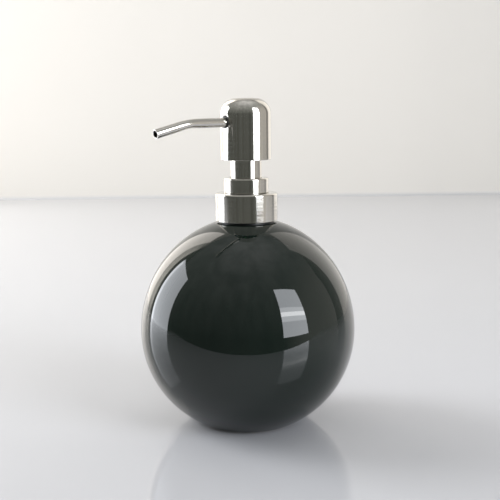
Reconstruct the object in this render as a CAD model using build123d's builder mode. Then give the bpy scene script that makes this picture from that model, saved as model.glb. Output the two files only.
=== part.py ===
"""Ball-shaped soap pump dispenser.

A glazed ceramic ball bottle with a steel-covered screw pump: a domed button with a bent spout,
a stem sleeve, a guide ring and a screw collar, over a spring-return lotion pump and its dip tube.

Millimetres, +Z up. The origin is on the bottle's axis, in the plane that it stands on, and the
spout points along -X. Everything is drawn at rest: collar screwed down, button up.
"""

import os
from math import sqrt

from build123d import *

os.makedirs("parts", exist_ok=True)

# ---- bottle -------------------------------------------------------------------------------------
ball_radius = 54.0          # widest circle
shoulder_rise = 57.0        # half height of the upper half ellipse
belly_drop = 52.4           # half height of the lower half ellipse
ball_wall = 3.6             # slip-cast wall
foot_radius = 25.0          # where the ball is cut flat to stand
foot_round = 6.0            # rounding of the foot's outer edge
foot_ring_width = 6.5       # unglazed ring that the bottle stands on
foot_recess = 1.6           # hollow inside that ring
floor_thickness = 4.0
mouth_wall = 3.5            # thicker wall round the pouring mouth
mouth_depth = 7.0

# ---- pump, from the stem outwards: radii, walls and clearances ----------------------------------
stem_radius = 7.7           # polished sleeve on the stem
steel = 0.45                # thickness of every steel cover
glue_gap = 0.05             # between a steel cover and the plastic in it
guide_clearance = 0.3       # sleeve in the guide ring
guide_wall = 0.9            # guide ring's cup, where it goes down through the collar
snap_gap = 0.1              # that cup in the housing's bowl
snap_bead = 0.2             # height of the bead that holds it
bowl_wall = 1.2             # housing's bowl
bowl_clearance = 0.6        # bowl in the neck
neck_wall = 1.8             # neck insert, inside its thread
thread_height = 1.1
thread_clearance = 0.25     # thread crest to the nut's bore
nut_wall = 1.05             # collar insert, outside its bore
ring_wall = 2.65            # guide ring above the collar
skirt_clearance = 0.85      # button skirt, over the guide ring
collar_hole_clearance = 0.35
spigot_wall = 1.6           # neck insert inside the ceramic mouth
mouth_gap = 0.1             # glue line round it
edge_round = 1.0            # outer edges of the collar and ring covers
hem_width = 0.9             # lower edge of the collar cover, turned inwards
hem_thickness = 0.4
flange_step = 0.4           # housing flange, inside the thread's crest
land_margin = 0.3           # flat top of the ceramic, beyond the collar

# ---- screw thread -------------------------------------------------------------------------------
thread_pitch = 4.233        # six turns to the inch
thread_turns = 1.4
thread_root_width = 2.4
thread_crest_width = 1.3
nut_root_width = 2.2
nut_crest_width = 1.1
flank_clearance = 0.12      # along the axis, between the two threads' flanks
crest_clearance = 0.15      # nut's thread crest to the neck's wall
thread_sink = 0.3           # how far a ridge reaches into the wall that it stands on

# ---- pump, heights ------------------------------------------------------------------------------
stroke = 14.0               # travel of the button
collar_lift = 0.9           # collar's lower edge above the ceramic
neck_flange = 1.0
neck_height = 10.8          # neck insert above the ceramic
spigot_depth = 8.0
thread_start = 3.2          # first turn, above the ceramic
gasket_thickness = 1.0
flange_thickness = 1.35
nut_top = 1.0
ring_height = 7.5           # guide ring above the collar
pressed_gap = 2.3           # button skirt above the collar when it is pressed home
button_height = 30.1
button_shoulder = 7.7       # rounding of the button's dome
button_crown = 0.3          # rise of its top
sleeve_engagement = 2.3     # sleeve inside the ring at rest
press_clearance = 1.2       # ring to the button's core when pressed home
end_gap = 1.0               # stem to the guide's disc when pressed home
seat_gap = 0.05             # faces that rest on each other
stop_gap = 0.1              # faces that meet as stops
turn_gap = 0.1              # flat faces that turn on each other

# ---- pump, inner works --------------------------------------------------------------------------
running_clearance = 0.05    # radial, every shaft in its hole
rod_radius = 3.0
rod_bore = 1.7
boss_wall = 1.55            # stem's inner tube, round the rod
stem_wall = 0.95            # stem's outer tube, inside the sleeve
stem_web = 1.5
stem_recess = 0.5           # stem's outer tube, above the sleeve's lower end
boss_reach = 1.0            # stem's inner tube, below the sleeve's lower end
rod_engagement = 22.0       # rod inside the stem
disc_thickness = 1.5        # guide's disc, where the rod passes
shoulder_step = 1.5         # rod's stop shoulder, beyond the rod
shoulder_height = 3.0
bowl_room = 3.5             # under the guide's disc
bowl_floor = 1.5
barrel_bore = 6.0
barrel_wall = 1.2
vent_radius = 0.6
lost_motion = 1.2           # seal's slide on the rod
seal_height = 6.5
seal_hub = 0.85
seal_skin = 0.5
seal_lip = 0.6
seal_web = 1.4
plunger_step = 1.6          # plunger's flange, beyond the rod
plunger_flange = 2.0
plunger_pin_radius = 2.6
plunger_pin_length = 6.5
spigot_length = 6.0
spigot_fit = 0.05
port_width = 1.4
port_height = 2.0
port_rise = 0.8
wire_radius = 0.45
spring_coils = 8
spring_margin = 1.8         # left between the coils when pressed home
spring_radius = 4.1
retainer_plate = 1.5
retainer_skirt = 4.2
retainer_wall = 1.2
slot_width = 1.8
slot_reach = 4.4
ball_valve_radius = 2.4
seat_top_radius = 3.6
seat_hole_radius = 1.6
seat_web = 2.0
socket_depth = 10.0
socket_wall = 1.2
tube_radius = 3.45
tube_wall = 0.9
tube_floor_gap = 4.0        # lowest point of the dip tube above the bottle's floor
tube_cut_angle = 30.0

# ---- spout --------------------------------------------------------------------------------------
spout_radius = 2.3
spout_bore = 1.65
spout_drop = 11.75          # where it leaves the button, below the button's top
spout_slope = 0.5           # degrees below level, first straight
spout_bend_reach = 33.0     # bend, from the axis
spout_bend_radius = 40.0
spout_tip_reach = 51.5
spout_tip_drop = 4.5        # tip below the bend
spout_seat = 4.0            # inner end, from the axis
spout_edge = 0.25           # rounding of the tip's edges
bush_wall = 0.5
bush_gap = 0.05
bush_proud = 0.25
bush_depth = 4.5
core_wall = 1.5             # button's plastic core
core_boss = 1.6             # its wall round the stem and round the spout
core_rib = 1.2
core_ribs = 6

# ---- radii that follow --------------------------------------------------------------------------
guide_bore = stem_radius + guide_clearance
cup_radius = guide_bore + guide_wall
bowl_bore = cup_radius + snap_gap
bowl_radius = bowl_bore + bowl_wall
neck_bore = bowl_radius + bowl_clearance
neck_radius = neck_bore + neck_wall
thread_radius = neck_radius + thread_height
nut_bore = thread_radius + thread_clearance
nut_radius = nut_bore + nut_wall
collar_radius = nut_radius + glue_gap + steel
collar_hole = cup_radius + collar_hole_clearance
flange_radius = thread_radius - flange_step
ring_radius = guide_bore + ring_wall + glue_gap + steel
button_radius = ring_radius + skirt_clearance + steel + glue_gap
core_radius = button_radius - steel - glue_gap
land_radius = collar_radius + land_margin
spigot_radius = neck_bore + spigot_wall
mouth_radius = spigot_radius + mouth_gap
boss_bore = rod_radius + running_clearance
boss_radius = boss_bore + boss_wall
stem_outside = stem_radius - steel - glue_gap
seal_bore = rod_radius + running_clearance
seal_radius = barrel_bore - running_clearance
barrel_radius = barrel_bore + barrel_wall
socket_bore = tube_radius + running_clearance
socket_radius = socket_bore + socket_wall
bush_bore = spout_radius + bush_gap
bush_radius = bush_bore + bush_wall

# ---- heights that follow ------------------------------------------------------------------------
belly_height = belly_drop * sqrt(1 - (foot_radius / ball_radius) ** 2)
land_z = belly_height + shoulder_rise * sqrt(1 - (land_radius / ball_radius) ** 2)
floor_z = foot_recess + floor_thickness
collar_low = land_z + collar_lift
neck_top = land_z + neck_height
gasket_low = neck_top + seat_gap
flange_low = gasket_low + gasket_thickness
flange_top = flange_low + flange_thickness
nut_ceiling = flange_top + turn_gap
collar_top = nut_ceiling + nut_top + glue_gap + steel
guide_low = collar_top + turn_gap
ring_top = collar_top + ring_height
button_low = collar_top + pressed_gap + stroke
button_top = button_low + button_height
core_low = ring_top + stroke + press_clearance
sleeve_low = ring_top - sleeve_engagement
boss_low = sleeve_low - boss_reach
disc_top = boss_low - stroke - end_gap
disc_low = disc_top - disc_thickness
shoulder_top = disc_low - stop_gap
shoulder_low = shoulder_top - shoulder_height
bowl_floor_top = disc_low - bowl_room
bowl_floor_low = bowl_floor_top - bowl_floor
seal_top = shoulder_low - lost_motion - stop_gap
seal_low = seal_top - seal_height
plunger_top = seal_low - stop_gap
spring_top = plunger_top - plunger_flange
spring_low = spring_top - stroke - 2 * wire_radius * spring_coils - spring_margin
retainer_low = spring_low - retainer_plate - retainer_skirt
seat_low = retainer_low - (seat_top_radius - seat_hole_radius)
socket_top = seat_low - seat_web
socket_low = socket_top - socket_depth
rod_top = boss_low + rod_engagement
spout_z = button_top - spout_drop
channel_top = rod_top + stop_gap

handle = 4 / 3 * (sqrt(2) - 1)   # length of a Bezier handle that draws a quarter of an ellipse


def band(inner, outer, low, high, mode=Mode.ADD):
    """A rectangle of a turned section, between two radii and two heights."""
    with Locations(((inner + outer) / 2, (low + high) / 2)):
        Rectangle(outer - inner, high - low, mode=mode)


def ball_section(radius, rise, drop, low, high):
    """Half section of the ball between two heights: a quarter ellipse over and one under its belly."""
    apex = (0, belly_height + rise)
    side = (radius, belly_height)
    nadir = (0, belly_height - drop)
    with BuildSketch(Plane.XZ) as section:
        with BuildLine():
            Bezier(apex, (handle * radius, apex[1]), (radius, belly_height + handle * rise), side)
            Bezier(side, (radius, belly_height - handle * drop), (handle * radius, nadir[1]), nadir)
            Line(nadir, apex)
        make_face()
        band(0, radius, low, high, mode=Mode.INTERSECT)
    return section.sketch_local


def cap_section(radius, low, high, rounding):
    """Half section of a plain cap whose outer top edge is rounded."""
    with BuildSketch(Plane.XZ) as section:
        band(0, radius, low, high)
        fillet(section.vertices().group_by(Axis.Y)[-1].sort_by(Axis.X)[-1], rounding)
    return section.sketch_local


def dome_section(radius, low, high, rounding):
    """Half section of the button: a straight skirt, a rounded shoulder and a slightly crowned top."""
    crown_radius = (radius**2 + button_crown**2) / (2 * button_crown)
    with BuildSketch(Plane.XZ) as section:
        band(0, radius, low, high)
        with Locations((0, high - crown_radius)):
            Circle(crown_radius, mode=Mode.INTERSECT)
        fillet(section.vertices().sort_by(Axis.X)[-2:].sort_by(Axis.Y)[-1], rounding)
    return section.sketch_local


def thread_ridge(root_radius, height, root_width, crest_width, start_z, start_angle):
    """A screw thread's ridge. A negative height makes an inside thread."""
    sink = -thread_sink if height > 0 else thread_sink
    with BuildPart() as ridge:
        with BuildLine(Plane.XY.offset(start_z)) as path:
            Helix(pitch=thread_pitch, height=thread_turns * thread_pitch, radius=root_radius)
        with BuildSketch(Plane(origin=path.line @ 0, x_dir=(1, 0, 0), z_dir=path.line % 0)):
            with BuildLine():
                Polyline(
                    (sink, -root_width / 2),
                    (0, -root_width / 2),
                    (height, -crest_width / 2),
                    (height, crest_width / 2),
                    (0, root_width / 2),
                    (sink, root_width / 2),
                    close=True,
                )
            make_face()
        sweep(path=path.line, is_frenet=True)
    return ridge.part.rotate(Axis.Z, start_angle)


# ---- spout line, shared by the spout, its bush and the bores that hold them ---------------------
spout_rise = Vector(1, 0, 0).rotate(Axis.Y, -spout_slope)
spout_root = Vector(-button_radius, 0, spout_z)
spout_start = spout_root + spout_rise * (button_radius - spout_seat)
spout_bend = spout_root - spout_rise * (spout_bend_reach - button_radius)
spout_tip = Vector(-spout_tip_reach, 0, spout_bend.Z - spout_tip_drop)
spout_plane = Plane(origin=spout_root, x_dir=(0, 1, 0), z_dir=-spout_rise)


# ---- bottle_shell -------------------------------------------------------------------------------
mouth_wall_top = min(land_z, belly_height + shoulder_rise - ball_wall)
with BuildPart() as bottle_shell:
    with BuildSketch(Plane.XZ) as bottle_section:
        add(ball_section(ball_radius, shoulder_rise, belly_drop, 0, land_z))
        fillet(bottle_section.vertices().group_by(Axis.Y)[0].sort_by(Axis.X)[-1], foot_round)
        add(
            ball_section(
                ball_radius - ball_wall, shoulder_rise - ball_wall, belly_drop - ball_wall, floor_z, land_z
            ),
            mode=Mode.SUBTRACT,
        )
        band(mouth_radius, mouth_radius + mouth_wall, land_z - mouth_depth, mouth_wall_top)
        band(0, mouth_radius, land_z - mouth_depth, land_z, mode=Mode.SUBTRACT)
        band(0, foot_radius - foot_ring_width, 0, foot_recess, mode=Mode.SUBTRACT)
    revolve(axis=Axis.Z)

# ---- neck_insert: threaded ferrule glued into the mouth -----------------------------------------
with BuildPart() as neck_insert:
    with BuildSketch(Plane.XZ):
        band(neck_bore, spigot_radius, land_z - spigot_depth, land_z)
        band(neck_bore, thread_radius - mouth_gap, land_z, land_z + neck_flange)
        band(neck_bore, neck_radius, land_z + neck_flange, neck_top)
    revolve(axis=Axis.Z)
    add(
        thread_ridge(
            neck_radius, thread_height, thread_root_width, thread_crest_width, land_z + thread_start, 0
        )
    )

# ---- collar_insert: nut moulded inside the collar -----------------------------------------------
# The nut's ridge starts half a turn on, and lies under the neck's ridge by both half widths.
nut_thread_height = nut_bore - neck_radius - crest_clearance
nut_thread_drop = (thread_root_width + nut_crest_width) / 2 + flank_clearance
nut_thread_z = land_z + thread_start - nut_thread_drop + thread_pitch / 2
with BuildPart() as collar_insert:
    with BuildSketch(Plane.XZ):
        add(cap_section(nut_radius, collar_low + hem_thickness, nut_ceiling + nut_top, edge_round - steel))
        band(0, nut_bore, collar_low, nut_ceiling, mode=Mode.SUBTRACT)
        band(0, collar_hole, nut_ceiling, collar_top, mode=Mode.SUBTRACT)
    revolve(axis=Axis.Z)
    add(thread_ridge(nut_bore, -nut_thread_height, nut_root_width, nut_crest_width, nut_thread_z, 180))

# ---- collar_shell: steel cover with its lower edge turned in ------------------------------------
with BuildPart() as collar_shell:
    with BuildSketch(Plane.XZ):
        add(cap_section(collar_radius, collar_low, collar_top, edge_round))
        add(
            cap_section(
                collar_radius - steel, collar_low + hem_thickness, collar_top - steel, edge_round - steel
            ),
            mode=Mode.SUBTRACT,
        )
        band(0, collar_radius - hem_width, collar_low, collar_low + hem_thickness, mode=Mode.SUBTRACT)
        band(0, collar_hole, collar_top - steel, collar_top, mode=Mode.SUBTRACT)
    revolve(axis=Axis.Z)

# ---- neck_gasket --------------------------------------------------------------------------------
with BuildPart() as neck_gasket:
    with BuildSketch(Plane.XZ):
        band(bowl_radius + snap_gap, flange_radius, gasket_low, flange_low)
    revolve(axis=Axis.Z)

# ---- pump_housing: flange, bowl, barrel, valve seat and dip tube socket in one moulding ---------
bead_z = (flange_low + disc_low) / 2
bead_half = 2 * snap_bead
groove_half = bead_half + snap_gap
groove_radius = cup_radius + snap_bead + snap_gap / 2
with BuildPart() as pump_housing:
    with BuildSketch(Plane.XZ):
        band(bowl_bore, flange_radius, flange_low, flange_top)
        band(bowl_bore, bowl_radius, bowl_floor_low, flange_low)
        band(0, bowl_radius, bowl_floor_low, bowl_floor_top)
        band(0, barrel_radius, seat_low, bowl_floor_low)
        with BuildLine():
            Polyline(
                (0, seat_low),
                (barrel_radius, seat_low),
                (socket_radius, socket_top - socket_wall),
                (0, socket_top - socket_wall),
                close=True,
            )
        make_face()
        band(0, socket_radius, socket_low, socket_top)
        band(0, barrel_bore, retainer_low, bowl_floor_top, mode=Mode.SUBTRACT)
        with BuildLine():
            Polyline(
                (0, retainer_low),
                (seat_top_radius, retainer_low),
                (seat_hole_radius, seat_low),
                (0, seat_low),
                close=True,
            )
        make_face(mode=Mode.SUBTRACT)
        band(0, seat_hole_radius, socket_top, seat_low, mode=Mode.SUBTRACT)
        band(0, socket_bore, socket_low, socket_top, mode=Mode.SUBTRACT)
        band(0, groove_radius, bead_z - groove_half, bead_z + groove_half, mode=Mode.SUBTRACT)
    revolve(axis=Axis.Z)
    with Locations((0, barrel_radius, (seal_top + seal_low) / 2)):
        Cylinder(vent_radius, barrel_radius, rotation=(90, 0, 0), mode=Mode.SUBTRACT)

# ---- guide_collar: ring over the collar, cup inside the bowl, disc round the rod ----------------
with BuildPart() as guide_collar:
    with BuildSketch(Plane.XZ):
        add(
            cap_section(
                ring_radius - steel - glue_gap, guide_low, ring_top - steel - glue_gap, edge_round - steel
            )
        )
        band(0, cup_radius, disc_low, guide_low)
        band(cup_radius, cup_radius + snap_bead, bead_z - bead_half, bead_z + bead_half)
        band(0, guide_bore, disc_top, ring_top, mode=Mode.SUBTRACT)
        band(0, rod_radius + running_clearance, disc_low, disc_top, mode=Mode.SUBTRACT)
    revolve(axis=Axis.Z)

# ---- guide_shell: steel cover of the ring -------------------------------------------------------
with BuildPart() as guide_shell:
    with BuildSketch(Plane.XZ):
        add(cap_section(ring_radius, guide_low, ring_top, edge_round))
        add(
            cap_section(ring_radius - steel, guide_low, ring_top - steel, edge_round - steel),
            mode=Mode.SUBTRACT,
        )
        band(0, guide_bore, guide_low, ring_top, mode=Mode.SUBTRACT)
    revolve(axis=Axis.Z)

# ---- ball_retainer: slotted cup over the inlet ball, with the spring on top ---------------------
with BuildPart() as ball_retainer:
    with BuildSketch(Plane.XZ):
        band(0, barrel_bore - glue_gap, retainer_low, spring_low)
        band(
            0,
            barrel_bore - glue_gap - retainer_wall,
            retainer_low,
            spring_low - retainer_plate,
            mode=Mode.SUBTRACT,
        )
    revolve(axis=Axis.Z)
    with BuildSketch(Plane.XY.offset(spring_low)):
        Rectangle(2 * slot_reach, slot_width)
        Rectangle(slot_width, 2 * slot_reach)
    extrude(amount=-retainer_plate, mode=Mode.SUBTRACT)

# ---- inlet_ball: rests on the 45 degree seat ----------------------------------------------------
seat_apex_z = seat_low - seat_hole_radius
inlet_ball_z = seat_apex_z + (ball_valve_radius + running_clearance) * sqrt(2)
with BuildPart() as inlet_ball:
    with Locations((0, 0, inlet_ball_z)):
        Sphere(ball_valve_radius)

# ---- return_spring ------------------------------------------------------------------------------
spring_start = spring_low + wire_radius + seat_gap
spring_height = spring_top - wire_radius - seat_gap - spring_start
with BuildPart() as return_spring:
    with BuildLine() as coil:
        Helix(
            pitch=spring_height / spring_coils,
            height=spring_height,
            radius=spring_radius,
            center=(0, 0, spring_start),
        )
    with BuildSketch(Plane(origin=coil.line @ 0, z_dir=coil.line % 0)):
        Circle(wire_radius)
    sweep(path=coil.line, is_frenet=True)

# ---- dip_tube: its lower end is cut at an angle so that it can't seal on the floor --------------
tube_low = floor_z + tube_floor_gap
with BuildPart() as dip_tube:
    with BuildSketch(Plane.XY.offset(tube_low)):
        Circle(tube_radius)
        Circle(tube_radius - tube_wall, mode=Mode.SUBTRACT)
    extrude(amount=socket_top - seat_gap - tube_low)
    cut_corner = (tube_radius, 0, tube_low)
    split(bisect_by=Plane(cut_corner, z_dir=Vector(0, 0, 1).rotate(Axis.Y, tube_cut_angle)), keep=Keep.TOP)

# ---- piston_rod: hollow, with the stop shoulder and two side ports ------------------------------
with BuildPart() as piston_rod:
    with BuildSketch(Plane.XZ):
        band(rod_bore, rod_radius, plunger_top, rod_top)
        band(rod_bore, rod_radius + shoulder_step, shoulder_low, shoulder_top)
    revolve(axis=Axis.Z)
    with BuildSketch(Plane.XZ):
        with Locations((0, plunger_top + port_rise + port_height / 2)):
            Rectangle(port_width, port_height)
    extrude(amount=rod_radius, both=True, mode=Mode.SUBTRACT)

# ---- rod_plunger: flange under the seal, fluted spigot in the rod, pin inside the spring --------
with BuildPart() as rod_plunger:
    with BuildSketch(Plane.XZ):
        band(0, rod_radius + plunger_step, spring_top, plunger_top)
        band(0, plunger_pin_radius, spring_top - plunger_pin_length, spring_top)
        band(0, rod_bore - spigot_fit, plunger_top, plunger_top + spigot_length)
    revolve(axis=Axis.Z)
    with BuildSketch(Plane.XY.offset(plunger_top + port_rise)):
        with GridLocations(0, 2 * rod_bore, 1, 2):
            Rectangle(2 * rod_bore, 2 * port_width)
    extrude(amount=spigot_length, mode=Mode.SUBTRACT)

# ---- piston_seal: hub on the rod, web, and an outer skin with a lip at each end -----------------
skin_low = seal_low + seal_lip
skin_high = seal_top - seal_lip
skin_radius = seal_radius - seal_lip / 2
seal_mid = (seal_top + seal_low) / 2
with BuildPart() as piston_seal:
    with BuildSketch(Plane.XZ):
        band(seal_bore, seal_bore + seal_hub, seal_low, seal_top)
        band(seal_bore, skin_radius, seal_mid - seal_web / 2, seal_mid + seal_web / 2)
        band(skin_radius - seal_skin, skin_radius, skin_low, skin_high)
        band(skin_radius - seal_skin, seal_radius, skin_low, skin_low + seal_lip)
        band(skin_radius - seal_skin, seal_radius, skin_high - seal_lip, skin_high)
    revolve(axis=Axis.Z)

# ---- head_stem: outer tube in the sleeve, inner tube on the rod, joined by a web ----------------
with BuildPart() as head_stem:
    with BuildSketch(Plane.XZ):
        band(stem_outside - stem_wall, stem_outside, sleeve_low + stem_recess, core_low)
        band(boss_bore, stem_outside, core_low - stem_web, core_low)
        band(boss_bore, boss_radius, boss_low, channel_top)
    revolve(axis=Axis.Z)

# ---- stem_sleeve --------------------------------------------------------------------------------
with BuildPart() as stem_sleeve:
    with BuildSketch(Plane.XZ):
        band(stem_radius - steel, stem_radius, sleeve_low, core_low)
    revolve(axis=Axis.Z)

# ---- button_insert: ribbed core with the outlet channel -----------------------------------------
with BuildPart() as button_insert:
    with BuildSketch(Plane.XZ):
        add(dome_section(core_radius, core_low, button_top - steel - glue_gap, button_shoulder - steel))
        band(
            boss_radius + glue_gap + core_boss,
            core_radius - core_wall,
            core_low,
            spout_z - bush_radius - core_boss,
            mode=Mode.SUBTRACT,
        )
        band(0, boss_radius + glue_gap, core_low, channel_top, mode=Mode.SUBTRACT)
        band(0, rod_bore, channel_top, spout_z + spout_bore, mode=Mode.SUBTRACT)
    revolve(axis=Axis.Z)
    with BuildSketch(Plane.XY.offset(core_low + stem_web)):
        with PolarLocations(0, core_ribs):
            with Locations(((boss_radius + core_radius) / 2 + core_rib / 2, 0)):
                Rectangle(core_radius - boss_radius - core_rib - core_wall / 2, core_rib)
    extrude(amount=spout_z - bush_radius - core_low - stem_web)
    with BuildSketch(spout_plane):
        Circle(bush_radius + bush_gap)
    extrude(amount=-bush_depth, mode=Mode.SUBTRACT)
    with BuildSketch(spout_plane):
        Circle(spout_radius + bush_gap)
    extrude(amount=spout_seat - button_radius, mode=Mode.SUBTRACT)
    with BuildSketch(spout_plane):
        Circle(spout_bore)
    extrude(amount=-button_radius, mode=Mode.SUBTRACT)

# ---- button_shell: drawn steel dome with the spout's hole ---------------------------------------
with BuildPart() as button_shell:
    with BuildSketch(Plane.XZ):
        add(dome_section(button_radius, button_low, button_top, button_shoulder))
        add(
            dome_section(button_radius - steel, button_low, button_top - steel, button_shoulder - steel),
            mode=Mode.SUBTRACT,
        )
    revolve(axis=Axis.Z)
    with BuildSketch(spout_plane):
        Circle(bush_radius + bush_gap)
    extrude(amount=-button_radius / 2, both=True, mode=Mode.SUBTRACT)

# ---- nozzle: bent spout tube --------------------------------------------------------------------
with BuildPart() as nozzle:
    with BuildLine() as spout_path:
        FilletPolyline(spout_start, spout_bend, spout_tip, radius=spout_bend_radius)
    with BuildSketch(Plane(origin=spout_start, x_dir=(0, 1, 0), z_dir=-spout_rise)):
        Circle(spout_radius)
        Circle(spout_bore, mode=Mode.SUBTRACT)
    sweep(path=spout_path.wires()[0])
    fillet(nozzle.edges().filter_by(GeomType.CIRCLE).sort_by(Axis.X)[:2], spout_edge)

# ---- nozzle_bush --------------------------------------------------------------------------------
with BuildPart() as nozzle_bush:
    with BuildSketch(spout_plane.offset(bush_proud)):
        Circle(bush_radius)
        Circle(bush_bore, mode=Mode.SUBTRACT)
    extrude(amount=-bush_depth - bush_proud + seat_gap)

pieces = {
    "bottle_shell": bottle_shell,
    "neck_insert": neck_insert,
    "collar_insert": collar_insert,
    "collar_shell": collar_shell,
    "neck_gasket": neck_gasket,
    "pump_housing": pump_housing,
    "guide_collar": guide_collar,
    "guide_shell": guide_shell,
    "ball_retainer": ball_retainer,
    "inlet_ball": inlet_ball,
    "return_spring": return_spring,
    "dip_tube": dip_tube,
    "piston_rod": piston_rod,
    "rod_plunger": rod_plunger,
    "piston_seal": piston_seal,
    "head_stem": head_stem,
    "stem_sleeve": stem_sleeve,
    "button_insert": button_insert,
    "button_shell": button_shell,
    "nozzle": nozzle,
    "nozzle_bush": nozzle_bush,
}
for name, piece in pieces.items():
    piece.part.label = name
    export_step(piece.part, f"parts/{name}.step")
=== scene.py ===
import math

import bmesh
import bpy
from bpy.props import FloatProperty, FloatVectorProperty, PointerProperty
from bpy.types import Operator, Panel, PropertyGroup
from mathutils import Matrix, Quaternion, Vector


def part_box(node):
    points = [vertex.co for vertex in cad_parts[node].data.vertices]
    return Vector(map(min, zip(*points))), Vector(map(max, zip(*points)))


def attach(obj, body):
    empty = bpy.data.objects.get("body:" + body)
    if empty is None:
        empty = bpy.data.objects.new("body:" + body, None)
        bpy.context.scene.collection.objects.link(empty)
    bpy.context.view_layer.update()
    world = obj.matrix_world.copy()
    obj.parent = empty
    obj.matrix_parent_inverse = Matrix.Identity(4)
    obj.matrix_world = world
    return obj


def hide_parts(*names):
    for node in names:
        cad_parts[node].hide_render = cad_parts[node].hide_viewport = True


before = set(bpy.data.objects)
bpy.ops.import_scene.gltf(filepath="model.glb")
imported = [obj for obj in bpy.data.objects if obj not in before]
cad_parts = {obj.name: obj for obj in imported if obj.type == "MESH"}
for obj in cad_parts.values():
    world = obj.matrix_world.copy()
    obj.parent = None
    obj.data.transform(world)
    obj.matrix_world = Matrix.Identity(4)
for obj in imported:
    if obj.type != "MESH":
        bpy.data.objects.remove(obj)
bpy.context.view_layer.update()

bl_info = {
    "name": "Ball Soap Pump Dispenser",
    "version": (1, 0, 0),
    "blender": (4, 5, 0),
    "location": "View3D > Sidebar > Dispenser",
    "description": "Dresses a packed soap pump dispenser with its glazed ball and polished steel pump",
    "category": "Object",
}

MM = 0.001
ROUND_STEPS = 256           # faces round a turned piece
SPOUT_STEPS = 64            # faces round the spout
BEND_STEPS = 24             # rings along the spout's bend
STRAIGHT_RINGS = 20         # rings along the spout's first straight
TIP_RINGS = 16              # rings from the spout's bend to its tip
CROWN_RINGS = 16            # rings from a dome's edge to its pole
OUTSIDE_STEPS = 90          # points up each half of the ball's outside
INSIDE_STEPS = 60           # points down each half of its inside
HALVINGS = 40               # rounds of the search for the foot's rounding
POLE_RADIUS = 1e-6          # a section point nearer to the axis than this is on it
ARC_STEP = math.radians(7)  # angle between the points of a rounding
LIP_ANGLES = [math.radians(angle) for angle in range(0, 91, 15)]
LARGE_FACES = 100           # weight of the large faces in a piece's normals

# Shares of the pump's sizes.
HEM_FOLD = 0.9              # rounding of the collar's folded edge, of the hem's thickness
SPOUT_LIP = 1 / 3           # rounding of the spout's tip, of the tube's wall
HOLE_DEPTH = 4              # length of the cutter for the spout's hole, of the bush's radius
PINCH_WIDER = 0.02          # how much wider the spout is at its bend
PINCH_LOWER = 0.03          # how much lower it is there

# Sockets of a Mix node that mixes colours.
SHARE, FIRST, SECOND = 0, 6, 7
MIXED = 2

# Roughness of each finish, from its smoothest places to its roughest.
GLAZE_GLOSS = (0.02, 0.05)
STEEL_GLOSS = (0.08, 0.16)
GLASS_GLOSS = (0.02, 0.12)
STAGE_GLOSS = (0.07, 0.6)
PLASTIC_GLOSS = 0.1         # how far plastic's roughness strays either way
CLAY_ROUGHNESS = 0.85

# How long and how wide the buffing lines are, along X, Y and Z.
TURNED_LINES = (24 * MM, 24 * MM, 0.5 * MM)
TURNED_SPREAD = 0.8         # how far turned steel draws its reflections out, up and down
QUARTER_TURN = 0.25         # of a full turn, from along the lines to across them
SPOUT_LINES = (20 * MM, 0.5 * MM, 0.5 * MM)
WIRE_LINES = (3 * MM, 3 * MM, 0.2 * MM)
LINE_RANGE = (0.3, 0.7)     # part of the lines' noise that the roughness follows

# Upright panel lights: name, the two side edges as (bearing in degrees to the camera's right,
# distance), low and high edge, glow, tint, and whether glossy surfaces mirror it. Lengths are in
# metres.
SOFT_BOXES = (
    ("Left soft box", (-91, 1.10), (-123, 1.10), 0.0, 0.86, 4.6, "#F4F8FF", True),
    ("Left soft box edge", (-119, 1.08), (-123, 1.08), 0.0, 0.80, 2.6, "#F4F8FF", True),
    ("Right soft box", (36, 0.93), (64, 1.19), 0.045, 0.93, 6.0, "#F4F8FF", True),
    ("Right soft box glow", (36, 0.925), (64, 1.185), 0.27, 0.50, 2.6, "#FAFCFF", True),
    ("Right soft box seam", (36, 0.92), (64, 1.18), 0.35, 0.42, 6.0, "#FFFFFF", True),
    ("Left white wall", (-138, 1.24), (-157, 1.16), 0.0, 1.6, 2.2, "#FFF8F0", True),
    ("Right white wall", (122, 1.20), (156, 1.16), 0.0, 1.6, 0.8, "#FFF8F0", True),
    ("Glow along the wall", (-100, 1.5), (-128, 1.85), 0.05, 1.9, 6.2, "#FFFDF8", False),
)

# The room round the studio, from the horizon up: sine of the elevation, and colour.
ROOM = ((0.0, "#62645F"), (0.55, "#9C9E99"), (0.87, "#BDBEBB"), (1.0, "#F2F2F0"))
ROOM_SHAPES = (6, 6, 0.5)   # how often the room's dark shapes come, along X, Y and Z
SHAPE_RANGE = (0.35, 0.65)  # part of the noise that the shapes fade over
SIDE_RANGE = (0.55, 0.95)   # where the pale right side fades in: cosine from straight right


# ---- places read from the frame -----------------------------------------------------------------

def low(node):
    """Lowest height of a CAD node."""
    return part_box(node)[0].z


def high(node):
    """Highest height of a CAD node."""
    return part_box(node)[1].z


def radius(node):
    """Outer radius of a CAD node that is turned about the Z axis."""
    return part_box(node)[1].x


# ---- colours ------------------------------------------------------------------------------------

def linear(code):
    """Linear RGBA of an sRGB hex colour."""
    channels = (int(code[i:i + 2], 16) / 255 for i in (1, 3, 5))
    return (*(c / 12.92 if c <= 0.04045 else ((c + 0.055) / 1.055) ** 2.4 for c in channels), 1.0)


def colour_property(name, description, code):
    """A colour setting whose default is an sRGB hex colour."""
    return FloatVectorProperty(
        name=name, description=description, subtype="COLOR", size=4, min=0, max=1, default=linear(code)
    )


def length_property(name, description, default):
    """A length setting in metres."""
    return FloatProperty(
        name=name, description=description, default=default, min=0, unit="LENGTH", precision=5
    )


# ---- settings -----------------------------------------------------------------------------------

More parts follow.
